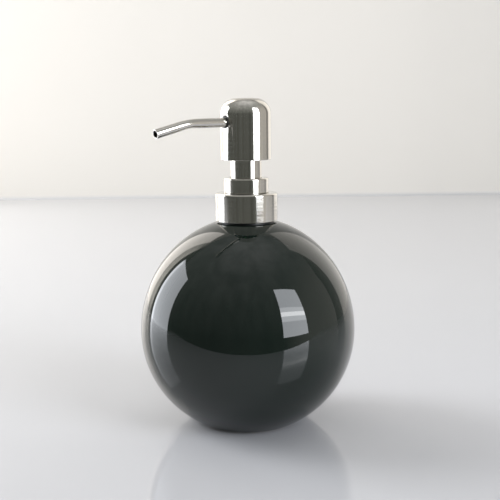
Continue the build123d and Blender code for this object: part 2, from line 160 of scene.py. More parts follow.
class BottleSettings(PropertyGroup):
    """Sizes and colours of the ceramic ball."""

    ball_radius: length_property("Ball Radius", "Widest circle of the ball", radius("bottle_shell"))
    shoulder_rise: length_property("Shoulder Rise", "Half height of the upper half ellipse", 57 * MM)
    belly_drop: length_property("Belly Drop", "Half height of the lower half ellipse", 52.4 * MM)
    wall: length_property("Wall", "Thickness of the cast wall", 3.6 * MM)
    floor: length_property("Floor", "Thickness of the bottle's floor", 4 * MM)
    foot_radius: length_property("Foot Radius", "Where the ball is cut flat to stand", 25 * MM)
    foot_round: length_property("Foot Rounding", "Outer edge of the foot", 6 * MM)
    foot_ring: length_property("Foot Ring", "Width of the bare ring it stands on", 6.5 * MM)
    foot_recess: length_property("Foot Recess", "Depth of the hollow inside the ring", 1.6 * MM)
    mouth_radius: length_property("Mouth Radius", "Hole that the neck is glued into", 12.5 * MM)
    mouth_wall: length_property("Mouth Wall", "Thicker wall round the mouth", 3.5 * MM)
    mouth_depth: length_property("Mouth Depth", "Depth of that wall", 7 * MM)
    mouth_round: length_property("Mouth Rounding", "Edges of the mouth and of the foot ring", 0.5 * MM)
    glaze_stop: length_property("Glaze Stop", "Height at which the foot ring is bare", 0.3 * MM)
    pool_size: length_property("Pool Size", "Size of the glaze's thick and thin places", 28 * MM)
    peel_size: length_property("Peel Size", "Size of the waves in the glaze", 11 * MM)
    peel_depth: length_property("Peel Depth", "Depth of those waves", 0.02 * MM)
    grit_size: length_property("Grit Size", "Grit in the bare clay", 0.5 * MM)
    grit_depth: length_property("Grit Depth", "How far that grit stands out", 0.08 * MM)
    glaze: colour_property("Glaze", "Green-black glaze", "#161F1B")
    glaze_deep: colour_property("Deep Glaze", "Glaze where it lies thick", "#111A16")
    clay: colour_property("Clay", "Fired clay of the bare foot ring", "#B7AA97")
    clay_dark: colour_property("Dark Clay", "Grit in the fired clay", "#8D7F6C")


class PumpSettings(PropertyGroup):
    """Sizes and finish of the polished pump."""

    sheet: length_property("Sheet", "Thickness of the steel covers", 0.45 * MM)
    edge_round: length_property("Edge Rounding", "Outer edges of the collar and the ring", 1.0 * MM)
    lip_round: length_property("Lip Rounding", "Edges of the steel sheet itself", 0.2 * MM)
    hem_width: length_property("Hem Width", "Collar's lower edge, turned in", 0.9 * MM)
    hem_thickness: length_property("Hem Thickness", "Thickness of that edge", 0.4 * MM)
    collar_hole: length_property("Collar Hole", "Hole in the top of the collar", 9.25 * MM)
    guide_bore: length_property("Guide Bore", "Hole in the guide ring", 8.0 * MM)
    dome_round: length_property("Dome Rounding", "Shoulder of the button", 7.7 * MM)
    dome_crown: length_property("Dome Crown", "Rise of the button's top", 0.3 * MM)
    spout_radius: length_property("Spout Radius", "Outside of the spout tube", 2.3 * MM)
    spout_bore: length_property("Spout Bore", "Inside of the spout tube", 1.65 * MM)
    spout_drop: length_property("Spout Drop", "Spout's root below the button's top", 11.75 * MM)
    spout_seat: length_property("Spout Seat", "Spout's inner end from the pump's axis", 4 * MM)
    spout_bend_reach: length_property("Bend Reach", "Spout's bend from the pump's axis", 33 * MM)
    spout_bend_radius: length_property("Bend Radius", "Radius of the spout's bend", 40 * MM)
    spout_tip_reach: length_property("Tip Reach", "Spout's tip from the pump's axis", 51.5 * MM)
    spout_tip_drop: length_property("Tip Drop", "Spout's tip below its bend", 4.5 * MM)
    spout_pinch_length: length_property("Pinch Length", "How far the bend's pinch reaches", 4 * MM)
    spout_dent: length_property("Dent", "Dent on the inside of the bend", 0.18 * MM)
    bush_radius: length_property("Bush Radius", "Outside of the spout's bush", 2.85 * MM)
    bush_gap: length_property("Bush Gap", "Between the bush and its hole", 0.05 * MM)
    spout_slope: FloatProperty(
        name="Spout Slope", description="Fall of the spout's first straight", subtype="ANGLE",
        default=math.radians(0.5),
    )
    line_depth: length_property("Line Depth", "Depth of the buffing lines", 0.0015 * MM)
    drift_size: length_property("Drift Size", "Size of the plastic's changes of colour", 12 * MM)
    grain_depth: length_property("Grain Depth", "Depth of the plastic's grain", 0.01 * MM)
    bloom_size: length_property("Bloom Size", "Size of the bloom on the glass ball", 0.4 * MM)
    steel: colour_property("Steel", "Polished stainless steel", "#D1CEC8")


class StageSettings(PropertyGroup):
    """Camera, table, wall and room."""

    camera_azimuth: FloatProperty(
        name="Camera Azimuth", description="Camera's bearing round the dispenser", subtype="ANGLE",
        default=math.radians(-36),
    )
    camera_distance: length_property("Camera Distance", "Level distance from the pump's axis", 462 * MM)
    camera_height: length_property("Camera Height", "Height of the lens above the table", 158.5 * MM)
    aim_height: length_property("Aim Height", "Height of the view's centre on the axis", 86.7 * MM)
    aim_right: length_property("Aim Right", "View's centre to the right of the axis", 1.5 * MM)
    camera_roll: FloatProperty(
        name="Camera Roll", description="Turn of the camera about its own axis", subtype="ANGLE",
        default=math.radians(0.6),
    )
    lens: FloatProperty(name="Lens", description="Focal length in millimetres", default=67.03, min=1)
    table_front: length_property("Table Front", "Front edge of the table's mirrored part", 0.24)
    wall_distance: length_property("Wall Distance", "Wall behind the dispenser", 1.17)
    wall_bend: length_property("Wall Bend", "Bend between the table and the wall", 0.006)
    wall_height: length_property("Wall Height", "Height of the wall", 2.2)
    room_size: length_property("Room Size", "Half width of the table and the wall", 3.5)
    table_tint: colour_property("Table", "Pale glossy table", "#C2C3C8")
    wall_tint: colour_property("Wall", "Pale warm wall", "#EAE6E0")
    room_contrast: FloatProperty(
        name="Room Contrast", description="How much darker the room's dark shapes are", default=0.3,
        min=0, max=1,
    )
    side_tint: colour_property("Right Side", "Pale side of the room, on the right", "#C9C5BE")
    backdrop_tint: colour_property("Backdrop", "What the camera sees past the wall", "#E8E6E3")


# ---- nodes and materials ------------------------------------------------------------------------

def add_node(tree, kind, values=None, links=None, **properties):
    """Add one node: its properties, its sockets' values and the sockets that its inputs link to."""
    made = tree.nodes.new(kind)
    for name, value in properties.items():
        setattr(made, name, value)
    for socket, value in (values or {}).items():
        made.inputs[socket].default_value = value
    for socket, source in (links or {}).items():
        tree.links.new(source.outputs[0] if hasattr(source, "outputs") else source, made.inputs[socket])
    return made


def new_material(name):
    """An empty material, its node tree and the object's own coordinates, in metres."""
    made = bpy.data.materials.new(name)
    made.use_nodes = True
    made.node_tree.nodes.clear()
    place = add_node(made.node_tree, "ShaderNodeTexCoord").outputs["Object"]
    return made, made.node_tree, place


def glazed_stoneware():
    """Glazed stoneware: a thick glossy glaze, dipped and fired. The eye gets sharp reflections that
    waver a little with the glaze's orange peel, over a green-black body that deepens where it pools."""
    look = bpy.context.scene.bottle_settings
    made, tree, place = new_material("Glazed stoneware")
    pools = add_node(tree, "ShaderNodeTexNoise", {"Scale": 1 / look.pool_size}, {"Vector": place})
    colour = add_node(
        tree, "ShaderNodeMix", {FIRST: look.glaze_deep, SECOND: look.glaze}, {SHARE: pools},
        data_type="RGBA",
    )
    gloss = add_node(
        tree, "ShaderNodeMapRange", {"To Min": GLAZE_GLOSS[0], "To Max": GLAZE_GLOSS[1]},
        {"Value": pools},
    )
    peel = add_node(
        tree, "ShaderNodeTexNoise", {"Scale": 1 / look.peel_size, "Detail": 1.0}, {"Vector": place}
    )
    relief = add_node(tree, "ShaderNodeBump", {"Distance": look.peel_depth}, {"Height": peel})
    shader = add_node(
        tree, "ShaderNodeBsdfPrincipled", {"IOR": 1.52},
        {"Base Color": colour.outputs[MIXED], "Roughness": gloss, "Normal": relief},
    )
    add_node(tree, "ShaderNodeOutputMaterial", {}, {"Surface": shader})
    return made


def fired_clay():
    """Unglazed stoneware: bare fired clay, wiped with a sponge. The eye gets a dry sandy buff whose
    grit shows."""
    look = bpy.context.scene.bottle_settings
    made, tree, place = new_material("Fired clay")
    grit = add_node(
        tree, "ShaderNodeTexNoise", {"Scale": 1 / look.grit_size, "Detail": 4.0}, {"Vector": place}
    )
    colour = add_node(
        tree, "ShaderNodeMix", {FIRST: look.clay_dark, SECOND: look.clay}, {SHARE: grit}, data_type="RGBA"
    )
    relief = add_node(tree, "ShaderNodeBump", {"Distance": look.grit_depth}, {"Height": grit})
    shader = add_node(
        tree, "ShaderNodeBsdfPrincipled", {"Roughness": CLAY_ROUGHNESS},
        {"Base Color": colour.outputs[MIXED], "Normal": relief},
    )
    add_node(tree, "ShaderNodeOutputMaterial", {}, {"Surface": shader})
    return made


def polished_steel(name, line_size, spread=0.0):
    """Stainless steel, drawn or rolled, then buffed to a mirror. The eye gets a warm mirror whose
    faint buffing lines soften the edges of its reflections. line_size is the size of the lines along
    X, Y and Z. Real ones are a few hundredths of a millimetre apart, and here they are wider, so
    that they show. spread draws reflections out across lines that run round the Z axis."""
    look = bpy.context.scene.pump_settings
    made, tree, place = new_material(name)
    scale = [1 / size for size in line_size]
    stretched = add_node(tree, "ShaderNodeMapping", {"Scale": scale}, {"Vector": place})
    lines = add_node(tree, "ShaderNodeTexNoise", {"Scale": 1.0, "Detail": 3.0}, {"Vector": stretched})
    gloss = add_node(
        tree, "ShaderNodeMapRange",
        {
            "From Min": LINE_RANGE[0], "From Max": LINE_RANGE[1],
            "To Min": STEEL_GLOSS[0], "To Max": STEEL_GLOSS[1],
        },
        {"Value": lines},
    )
    relief = add_node(tree, "ShaderNodeBump", {"Distance": look.line_depth}, {"Height": lines})
    round_axis = add_node(tree, "ShaderNodeTangent", direction_type="RADIAL", axis="Z")
    shader = add_node(
        tree, "ShaderNodeBsdfPrincipled",
        {
            "Metallic": 1.0, "Base Color": look.steel, "Anisotropic": spread,
            "Anisotropic Rotation": QUARTER_TURN,
        },
        {"Roughness": gloss, "Normal": relief, "Tangent": round_axis},
    )
    add_node(tree, "ShaderNodeOutputMaterial", {}, {"Surface": shader})
    return made


def moulded_plastic(name, code, shade_code, roughness, grain_size, **shader_values):
    """Injection-moulded or extruded plastic with the fine grain of its tool. The eye gets a soft
    sheen that breaks up over the grain, and a colour that drifts between thick and thin places."""
    look = bpy.context.scene.pump_settings
    made, tree, place = new_material(name)
    drift = add_node(tree, "ShaderNodeTexNoise", {"Scale": 1 / look.drift_size}, {"Vector": place})
    colour = add_node(
        tree, "ShaderNodeMix", {FIRST: linear(shade_code), SECOND: linear(code)}, {SHARE: drift},
        data_type="RGBA",
    )
    grain = add_node(tree, "ShaderNodeTexNoise", {"Scale": 1 / grain_size}, {"Vector": place})
    gloss = add_node(
        tree, "ShaderNodeMapRange",
        {"To Min": roughness - PLASTIC_GLOSS, "To Max": roughness + PLASTIC_GLOSS}, {"Value": grain},
    )
    relief = add_node(tree, "ShaderNodeBump", {"Distance": look.grain_depth}, {"Height": grain})
    values = {socket.replace("_", " "): value for socket, value in shader_values.items()}
    shader = add_node(
        tree, "ShaderNodeBsdfPrincipled", values,
        {"Base Color": colour.outputs[MIXED], "Roughness": gloss, "Normal": relief},
    )
    add_node(tree, "ShaderNodeOutputMaterial", {}, {"Surface": shader})
    return made


def ground_glass():
    """Soda-lime glass, ground and polished to a ball. The eye gets a clear green-grey marble with
    the faint bloom that grinding leaves."""
    look = bpy.context.scene.pump_settings
    made, tree, place = new_material("Ground glass")
    bloom = add_node(
        tree, "ShaderNodeTexNoise", {"Scale": 1 / look.bloom_size, "Detail": 3.0}, {"Vector": place}
    )
    gloss = add_node(
        tree, "ShaderNodeMapRange", {"To Min": GLASS_GLOSS[0], "To Max": GLASS_GLOSS[1]},
        {"Value": bloom},
    )
    shader = add_node(
        tree, "ShaderNodeBsdfPrincipled",
        {"Base Color": linear("#CFE3DA"), "IOR": 1.52, "Transmission Weight": 1.0}, {"Roughness": gloss},
    )
    add_node(tree, "ShaderNodeOutputMaterial", {}, {"Surface": shader})
    return made


# ---- mesh helpers -------------------------------------------------------------------------------

def arc(centre, radius, first, last):
    """Points of an arc from angle first to angle last."""
    steps = max(2, math.ceil(abs(last - first) / ARC_STEP))
    angles = (first + (last - first) * k / steps for k in range(steps + 1))
    return [centre + radius * Vector((math.cos(a), math.sin(a))) for a in angles]


def ellipse(centre, across, rise, first, last, steps):
    """Points of an ellipse between two of its angles."""
    angles = (first + (last - first) * k / steps for k in range(steps + 1))
    return [centre + Vector((across * math.cos(a), rise * math.sin(a))) for a in angles]


def rounded(corners):
    """Section points of a chain of corners (radius, height, rounding), each drawn as an arc of its
    rounding. A corner with no rounding stays as it is."""
    points = []
    for i, (r, z, rounding) in enumerate(corners):
        here = Vector((r, z))
        if rounding == 0:
            points.append(here)
            continue
        to_last = (Vector(corners[i - 1][:2]) - here).normalized()
        to_next = (Vector(corners[(i + 1) % len(corners)][:2]) - here).normalized()
        half = to_last.angle(to_next) / 2
        centre = here + (to_last + to_next).normalized() * (rounding / math.sin(half))
        first = here + to_last * (rounding / math.tan(half)) - centre
        start = math.atan2(first.y, first.x)
        points += arc(centre, rounding, start, start - first.angle_signed(
            here + to_next * (rounding / math.tan(half)) - centre
        ))
    return points


def turned(points, closed=True):
    """A mesh turned about the Z axis from the points of a half section. A point on the axis makes a
    pole, and nothing is drawn along the axis."""
    mesh = bmesh.new()
    rings = []
    for r, z in points:
        count = 1 if r < POLE_RADIUS else ROUND_STEPS
        turns = (math.tau * k / count for k in range(count))
        reach = 0 if count == 1 else r
        rings.append([mesh.verts.new((reach * math.cos(a), reach * math.sin(a), z)) for a in turns])
    following = rings[1:] + rings[:1] if closed else rings[1:]
    for near, far in zip(rings, following):
        if len(near) == len(far) == 1:
            continue
        for k in range(ROUND_STEPS):
            corners = (
                near[k % len(near)], near[(k + 1) % len(near)],
                far[(k + 1) % len(far)], far[k % len(far)],
            )
            mesh.faces.new(list(dict.fromkeys(corners)))
    bmesh.ops.recalc_face_normals(mesh, faces=mesh.faces)
    return mesh


def new_piece(name, mesh):
    """An object from a bmesh, smooth all over."""
    for face in mesh.faces:
        face.smooth = True
    data = bpy.data.meshes.new(name)
    mesh.to_mesh(data)
    mesh.free()
    made = bpy.data.objects.new(name, data)
    bpy.context.scene.collection.objects.link(made)
    return made


def dress(piece, body, slot, node, *materials):
    """Give a piece its materials and its body, and let it stand for a CAD node. The slot argument is not
    used.
    Its normals are weighted by area, so that flats stay flat beside their small roundings."""
    weighted = piece.modifiers.new("Weighted normals", "WEIGHTED_NORMAL")
    weighted.weight = LARGE_FACES
    for material in materials:
        piece.data.materials.append(material)
    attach(piece, body)
    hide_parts(node)


def cut_away(piece, cutter):
    """Cut the cutter's shape out of a piece, and drop the cutter."""
    cut = piece.modifiers.new("Cut", "BOOLEAN")
    cut.operation = "DIFFERENCE"
    cut.solver = "EXACT"
    cut.object = cutter
    bpy.context.view_layer.update()
    graph = bpy.context.evaluated_depsgraph_get()
    piece.data = bpy.data.meshes.new_from_object(piece.evaluated_get(graph))
    piece.modifiers.remove(cut)
    bpy.data.objects.remove(cutter)


# ---- bottle -------------------------------------------------------------------------------------

class DISPENSER_OT_bottle(Operator):
    """Turn the hollow glazed ball with its bare foot ring"""

    bl_idname = "dispenser.bottle"
    bl_label = "Glazed Ball Bottle"

    def execute(self, context):
        size = context.scene.bottle_settings
        piece = new_piece("glazed_ball", turned(self.section(size)))
        dress(piece, "bottle", "glaze", "bottle_shell", glazed_stoneware(), fired_clay())
        ring_inside = size.foot_radius - size.foot_ring
        for face in piece.data.polygons:
            if face.center.z < size.glaze_stop and face.center.xy.length > ring_inside:
                face.material_index = 1
        return {"FINISHED"}

    def section(self, size):
        """Closed half section: the foot, the outside, the mouth and the inside."""
        belly_height = size.belly_drop * math.sqrt(1 - (size.foot_radius / size.ball_radius) ** 2)
        centre = Vector((0, belly_height))
        land = high("bottle_shell")
        foot_angle, foot_centre = self.foot_rounding(size, centre)
        land_angle = math.asin((land - belly_height) / size.shoulder_rise)
        foot_normal = Vector((
            math.cos(foot_angle) / size.ball_radius, math.sin(foot_angle) / size.belly_drop
        ))
        outside = arc(
            foot_centre, size.foot_round, -math.pi / 2, math.atan2(foot_normal.y, foot_normal.x)
        )
        below_belly = (foot_angle, 0, OUTSIDE_STEPS)
        above_belly = (0, land_angle, OUTSIDE_STEPS)
        outside += ellipse(centre, size.ball_radius, size.belly_drop, *below_belly)[1:]
        outside += ellipse(centre, size.ball_radius, size.shoulder_rise, *above_belly)[1:]

        within = size.ball_radius - size.wall
        mouth_low = land - size.mouth_depth
        mouth_wall = size.mouth_radius + size.mouth_wall
        top_angle = math.acos(mouth_wall / within)
        floor = size.foot_recess + size.floor
        floor_angle = math.asin((floor - belly_height) / (size.belly_drop - size.wall))
        mouth = rounded([
            (size.mouth_radius, land, size.mouth_round),
            (size.mouth_radius, mouth_low, size.mouth_round),
            (mouth_wall, mouth_low, size.mouth_round), (mouth_wall, land, 0),
        ])[:-1]
        inside_rise, inside_drop = size.shoulder_rise - size.wall, size.belly_drop - size.wall
        inside = ellipse(centre, within, inside_rise, top_angle, 0, INSIDE_STEPS)
        inside += ellipse(centre, within, inside_drop, 0, floor_angle, INSIDE_STEPS)[1:]

        ring_inside = size.foot_radius - size.foot_ring
        foot = rounded([
            (0, floor, 0), (0, size.foot_recess, 0), (ring_inside, size.foot_recess, size.mouth_round),
            (ring_inside, 0, size.mouth_round), (foot_centre.x, 0, 0),
        ])[:-1]
        return outside + mouth + inside + foot

    def foot_rounding(self, size, centre):
        """Angle on the ball where the foot's rounding starts, and that rounding's centre, which lies
        one rounding inside the ball and one above the table."""
        low_angle, high_angle = -math.pi / 2, 0.0
        for _ in range(HALVINGS):
            angle = (low_angle + high_angle) / 2
            on_ball = centre + Vector((
                size.ball_radius * math.cos(angle), size.belly_drop * math.sin(angle)
            ))
            inward = -Vector((
                math.cos(angle) / size.ball_radius, math.sin(angle) / size.belly_drop
            )).normalized()
            arc_centre = on_ball + inward * size.foot_round
            if arc_centre.y < size.foot_round:
                low_angle = angle
            else:
                high_angle = angle
        return angle, arc_centre


# ---- steel covers of the collar, the guide ring and the stem ------------------------------------

class DISPENSER_OT_collar(Operator):
    """Turn the polished cover of the screw collar, with its lower edge turned in"""

    bl_idname = "dispenser.collar"
    bl_label = "Collar Cover"

    def execute(self, context):
        size = context.scene.pump_settings
        outside, inside = radius("collar_shell"), radius("collar_shell") - size.sheet
        bottom, top = low("collar_shell"), high("collar_shell")
        hem, hem_top = outside - size.hem_width, bottom + size.hem_thickness
        lip, fold = size.lip_round, size.hem_thickness * HEM_FOLD
        section = rounded([
            (outside, bottom, fold), (outside, top, size.edge_round),
            (size.collar_hole, top, lip), (size.collar_hole, top - size.sheet, lip),
            (inside, top - size.sheet, size.edge_round - size.sheet),
            (inside, hem_top, 0), (hem, hem_top, lip / 2), (hem, bottom, lip / 2),
        ])
        piece = new_piece("collar_cover", turned(section))
        steel = polished_steel("Polished steel collar", TURNED_LINES, TURNED_SPREAD)
        dress(piece, "collar", "steel", "collar_shell", steel)
        return {"FINISHED"}


class DISPENSER_OT_guide_ring(Operator):
    """Turn the polished cover of the guide ring"""

    bl_idname = "dispenser.guide_ring"
    bl_label = "Guide Ring Cover"

    def execute(self, context):
        size = context.scene.pump_settings
        outside, inside = radius("guide_shell"), radius("guide_shell") - size.sheet
        bottom, top = low("guide_shell"), high("guide_shell")
        lip = size.lip_round
        section = rounded([
            (outside, bottom, lip), (outside, top, size.edge_round),
            (size.guide_bore, top, lip), (size.guide_bore, top - size.sheet, lip),
            (inside, top - size.sheet, size.edge_round - size.sheet), (inside, bottom, lip),
        ])
        piece = new_piece("guide_cover", turned(section))
        steel = polished_steel("Polished steel ring", TURNED_LINES, TURNED_SPREAD)
        dress(piece, "pump", "steel", "guide_shell", steel)
        return {"FINISHED"}


class DISPENSER_OT_stem_sleeve(Operator):
    """Turn the polished sleeve that slides through the guide ring"""

    bl_idname = "dispenser.stem_sleeve"
    bl_label = "Stem Sleeve"

    def execute(self, context):
        size = context.scene.pump_settings
        outside, inside = radius("stem_sleeve"), radius("stem_sleeve") - size.sheet
        bottom, top = low("stem_sleeve"), high("stem_sleeve")
        lip = size.lip_round
        section = rounded([
            (outside, bottom, lip), (outside, top, lip), (inside, top, lip), (inside, bottom, lip)
        ])
        piece = new_piece("polished_sleeve", turned(section))
        steel = polished_steel("Polished steel sleeve", TURNED_LINES, TURNED_SPREAD)
        dress(piece, "head", "steel", "stem_sleeve", steel)
        return {"FINISHED"}


# ---- button -------------------------------------------------------------------------------------

def dome(outside, bottom, top, crown, rounding):
    """Open half section of a dome, from its lower edge to its pole: a straight skirt, a rounded
    shoulder and a slightly crowned top."""
    crown_radius = (outside ** 2 + crown ** 2) / (2 * crown)
    crown_centre = Vector((0, top - crown_radius))
    across = outside - rounding
    shoulder = Vector((across, crown_centre.y + math.sqrt((crown_radius - rounding) ** 2 - across ** 2)))
    lean = math.atan2(shoulder.y - crown_centre.y, shoulder.x)
    points = [Vector((outside, bottom))]
    points += arc(shoulder, rounding, 0, lean)
    edge = points[-1].x
    for k in range(1, CROWN_RINGS + 1):
        r = edge * (1 - k / CROWN_RINGS)
        points.append(Vector((r, crown_centre.y + math.sqrt(crown_radius ** 2 - r ** 2))))
    return points


class DISPENSER_OT_button(Operator):
    """Turn the domed button and cut the hole that its spout's bush stands in"""

    bl_idname = "dispenser.button"
    bl_label = "Domed Button"

    def execute(self, context):
        size = context.scene.pump_settings
        outside, inside = radius("button_shell"), radius("button_shell") - size.sheet
        bottom, top = low("button_shell"), high("button_shell")
        outer = dome(outside, bottom, top, size.dome_crown, size.dome_round)
        inner = dome(inside, bottom, top - size.sheet, size.dome_crown, size.dome_round - size.sheet)
        # Each skirt's lowest point gives way to the lip's rounding.
        lip = rounded([
            (*inner[1], 0), (inside, bottom, size.lip_round), (outside, bottom, size.lip_round),
            (*outer[1], 0),
        ])[1:-1]
        piece = new_piece("domed_button", turned(inner[:0:-1] + lip + outer[1:], closed=False))
        root, along = spout_root(size)
        hole = bmesh.new()
        bmesh.ops.create_cone(
            hole, cap_ends=True, segments=SPOUT_STEPS, depth=HOLE_DEPTH * size.bush_radius,
            radius1=size.bush_radius + size.bush_gap, radius2=size.bush_radius + size.bush_gap,
            matrix=Matrix.Translation(root) @ along.to_track_quat("Z", "Y").to_matrix().to_4x4(),
        )
        cut_away(piece, new_piece("spout_hole", hole))
        steel = polished_steel("Polished steel button", TURNED_LINES, TURNED_SPREAD)
        dress(piece, "head", "steel", "button_shell", steel)
        return {"FINISHED"}


# ---- spout --------------------------------------------------------------------------------------

def spout_root(size):
    """Point where the spout's axis leaves the button, and the direction in which it goes on."""
    root = Vector((-radius("button_shell"), 0, high("button_shell") - size.spout_drop))
    return root, Vector((-math.cos(size.spout_slope), 0, -math.sin(size.spout_slope)))


def spout_line(size):
    """Points along the spout's axis, each with its direction: a straight, a bend and a straight."""
    root, along = spout_root(size)
    start = root - along * (radius("button_shell") - size.spout_seat)
    bend = root + along * (size.spout_bend_reach - radius("button_shell"))
    tip = Vector((-size.spout_tip_reach, 0, bend.z - size.spout_tip_drop))
    onward = (tip - bend).normalized()
    turn = along.angle(onward)
    cut_back = size.spout_bend_radius * math.tan(turn / 2)
    below = Vector((-along.z, 0, along.x))
    centre = bend - along * cut_back + below * size.spout_bend_radius
    straight = bend - along * cut_back - start
    line = [(start + straight * k / STRAIGHT_RINGS, along) for k in range(STRAIGHT_RINGS)]
    for k in range(BEND_STEPS + 1):
        turned_by = Matrix.Rotation(-turn * k / BEND_STEPS, 3, "Y")
        line.append((centre - turned_by @ below * size.spout_bend_radius, turned_by @ along))
    last = line[-1][0]
    line += [(last + (tip - last) * k / TIP_RINGS, onward) for k in range(1, TIP_RINGS + 1)]
    return line, bend


class DISPENSER_OT_spout(Operator):
    """Draw the bent spout tube, pinched a little at its bend"""

    bl_idname = "dispenser.spout"
    bl_label = "Spout"

    def execute(self, context):
        size = context.scene.pump_settings
        line, bend = spout_line(size)
        lip = (size.spout_radius - size.spout_bore) * SPOUT_LIP
        tip, onward = line[-1]
        rings = [(place, along, size.spout_radius) for place, along in line[:-1]]
        for angle in LIP_ANGLES:
            back, narrower = lip * (1 - math.sin(angle)), lip * (1 - math.cos(angle))
            rings.append((tip - onward * back, onward, size.spout_radius - narrower))
        for angle in reversed(LIP_ANGLES):
            back, wider = lip * (1 - math.sin(angle)), lip * (1 - math.cos(angle))
            rings.append((tip - onward * back, onward, size.spout_bore + wider))
        rings += [(place, along, size.spout_bore) for place, along in line[-2::-1]]

        mesh = bmesh.new()
        rows = [self.ring(mesh, size, bend, *ring) for ring in rings]
        for near, far in zip(rows, rows[1:] + rows[:1]):
            for k in range(SPOUT_STEPS):
                after = (k + 1) % SPOUT_STEPS
                mesh.faces.new((near[k], near[after], far[after], far[k]))
        bmesh.ops.recalc_face_normals(mesh, faces=mesh.faces)
        steel = polished_steel("Polished steel spout", SPOUT_LINES)
        dress(new_piece("spout_tube", mesh), "head", "steel", "nozzle", steel)
        return {"FINISHED"}

    def ring(self, mesh, size, bend, place, along, tube_radius):
        """One ring of the tube. Near the bend it is a little wider, lower and dented from below."""
        above = Vector((along.z, 0, -along.x))
        pinch = math.exp(-((place - bend).length / size.spout_pinch_length) ** 2)
        made = []
        for k in range(SPOUT_STEPS):
            angle = math.tau * k / SPOUT_STEPS
            across, rise = math.cos(angle), math.sin(angle)
            dent = size.spout_dent * pinch * max(0, -rise) ** 2
            sideways = across * tube_radius * (1 + PINCH_WIDER * pinch)
            upward = rise * tube_radius * (1 - PINCH_LOWER * pinch) + dent
            made.append(mesh.verts.new(place + Vector((0, sideways, 0)) + above * upward))
        return made


# ---- inner works --------------------------------------------------------------------------------

class DISPENSER_OT_inner_works(Operator):
    """Give the plastic, foam, wire and glass pieces their materials"""

    bl_idname = "dispenser.inner_works"
    bl_label = "Inner Works"

    def execute(self, context):
        natural = moulded_plastic(
            "Natural polypropylene", "#E4E3DC", "#D2D1C8", roughness=0.42, grain_size=0.3 * MM,
            IOR=1.49, Subsurface_Weight=0.15, Subsurface_Scale=1.5 * MM,
        )
        black = moulded_plastic(
            "Black polypropylene", "#1C1D1D", "#141515", roughness=0.4, grain_size=0.25 * MM, IOR=1.49
        )
        pipe = moulded_plastic(
            "Extruded polyethylene", "#DDE2E0", "#CBD2D0", roughness=0.3, grain_size=0.6 * MM,
            IOR=1.51, Subsurface_Weight=0.3, Subsurface_Scale=1 * MM, Transmission_Weight=0.35,
        )
        soft = moulded_plastic(
            "Soft polyethylene", "#EDEADC", "#DEDAC8", roughness=0.5, grain_size=0.4 * MM, IOR=1.51
        )
        foam = moulded_plastic(
            "Closed-cell foam", "#C9CBCB", "#B4B7B8", roughness=0.85, grain_size=0.35 * MM
        )
        finishes = {
            "neck_insert": black, "collar_insert": black, "guide_collar": black, "nozzle_bush": black,
            "neck_gasket": foam, "pump_housing": natural, "ball_retainer": natural,
            "piston_rod": natural, "rod_plunger": natural, "head_stem": natural,
            "button_insert": natural, "dip_tube": pipe, "piston_seal": soft,
            "return_spring": polished_steel("Drawn spring wire", WIRE_LINES),
            "inlet_ball": ground_glass(),
        }
        for name, material in finishes.items():
            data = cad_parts[name].data
            data.materials.clear()
            data.materials.append(material)
        return {"FINISHED"}


# ---- stage --------------------------------------------------------------------------------------

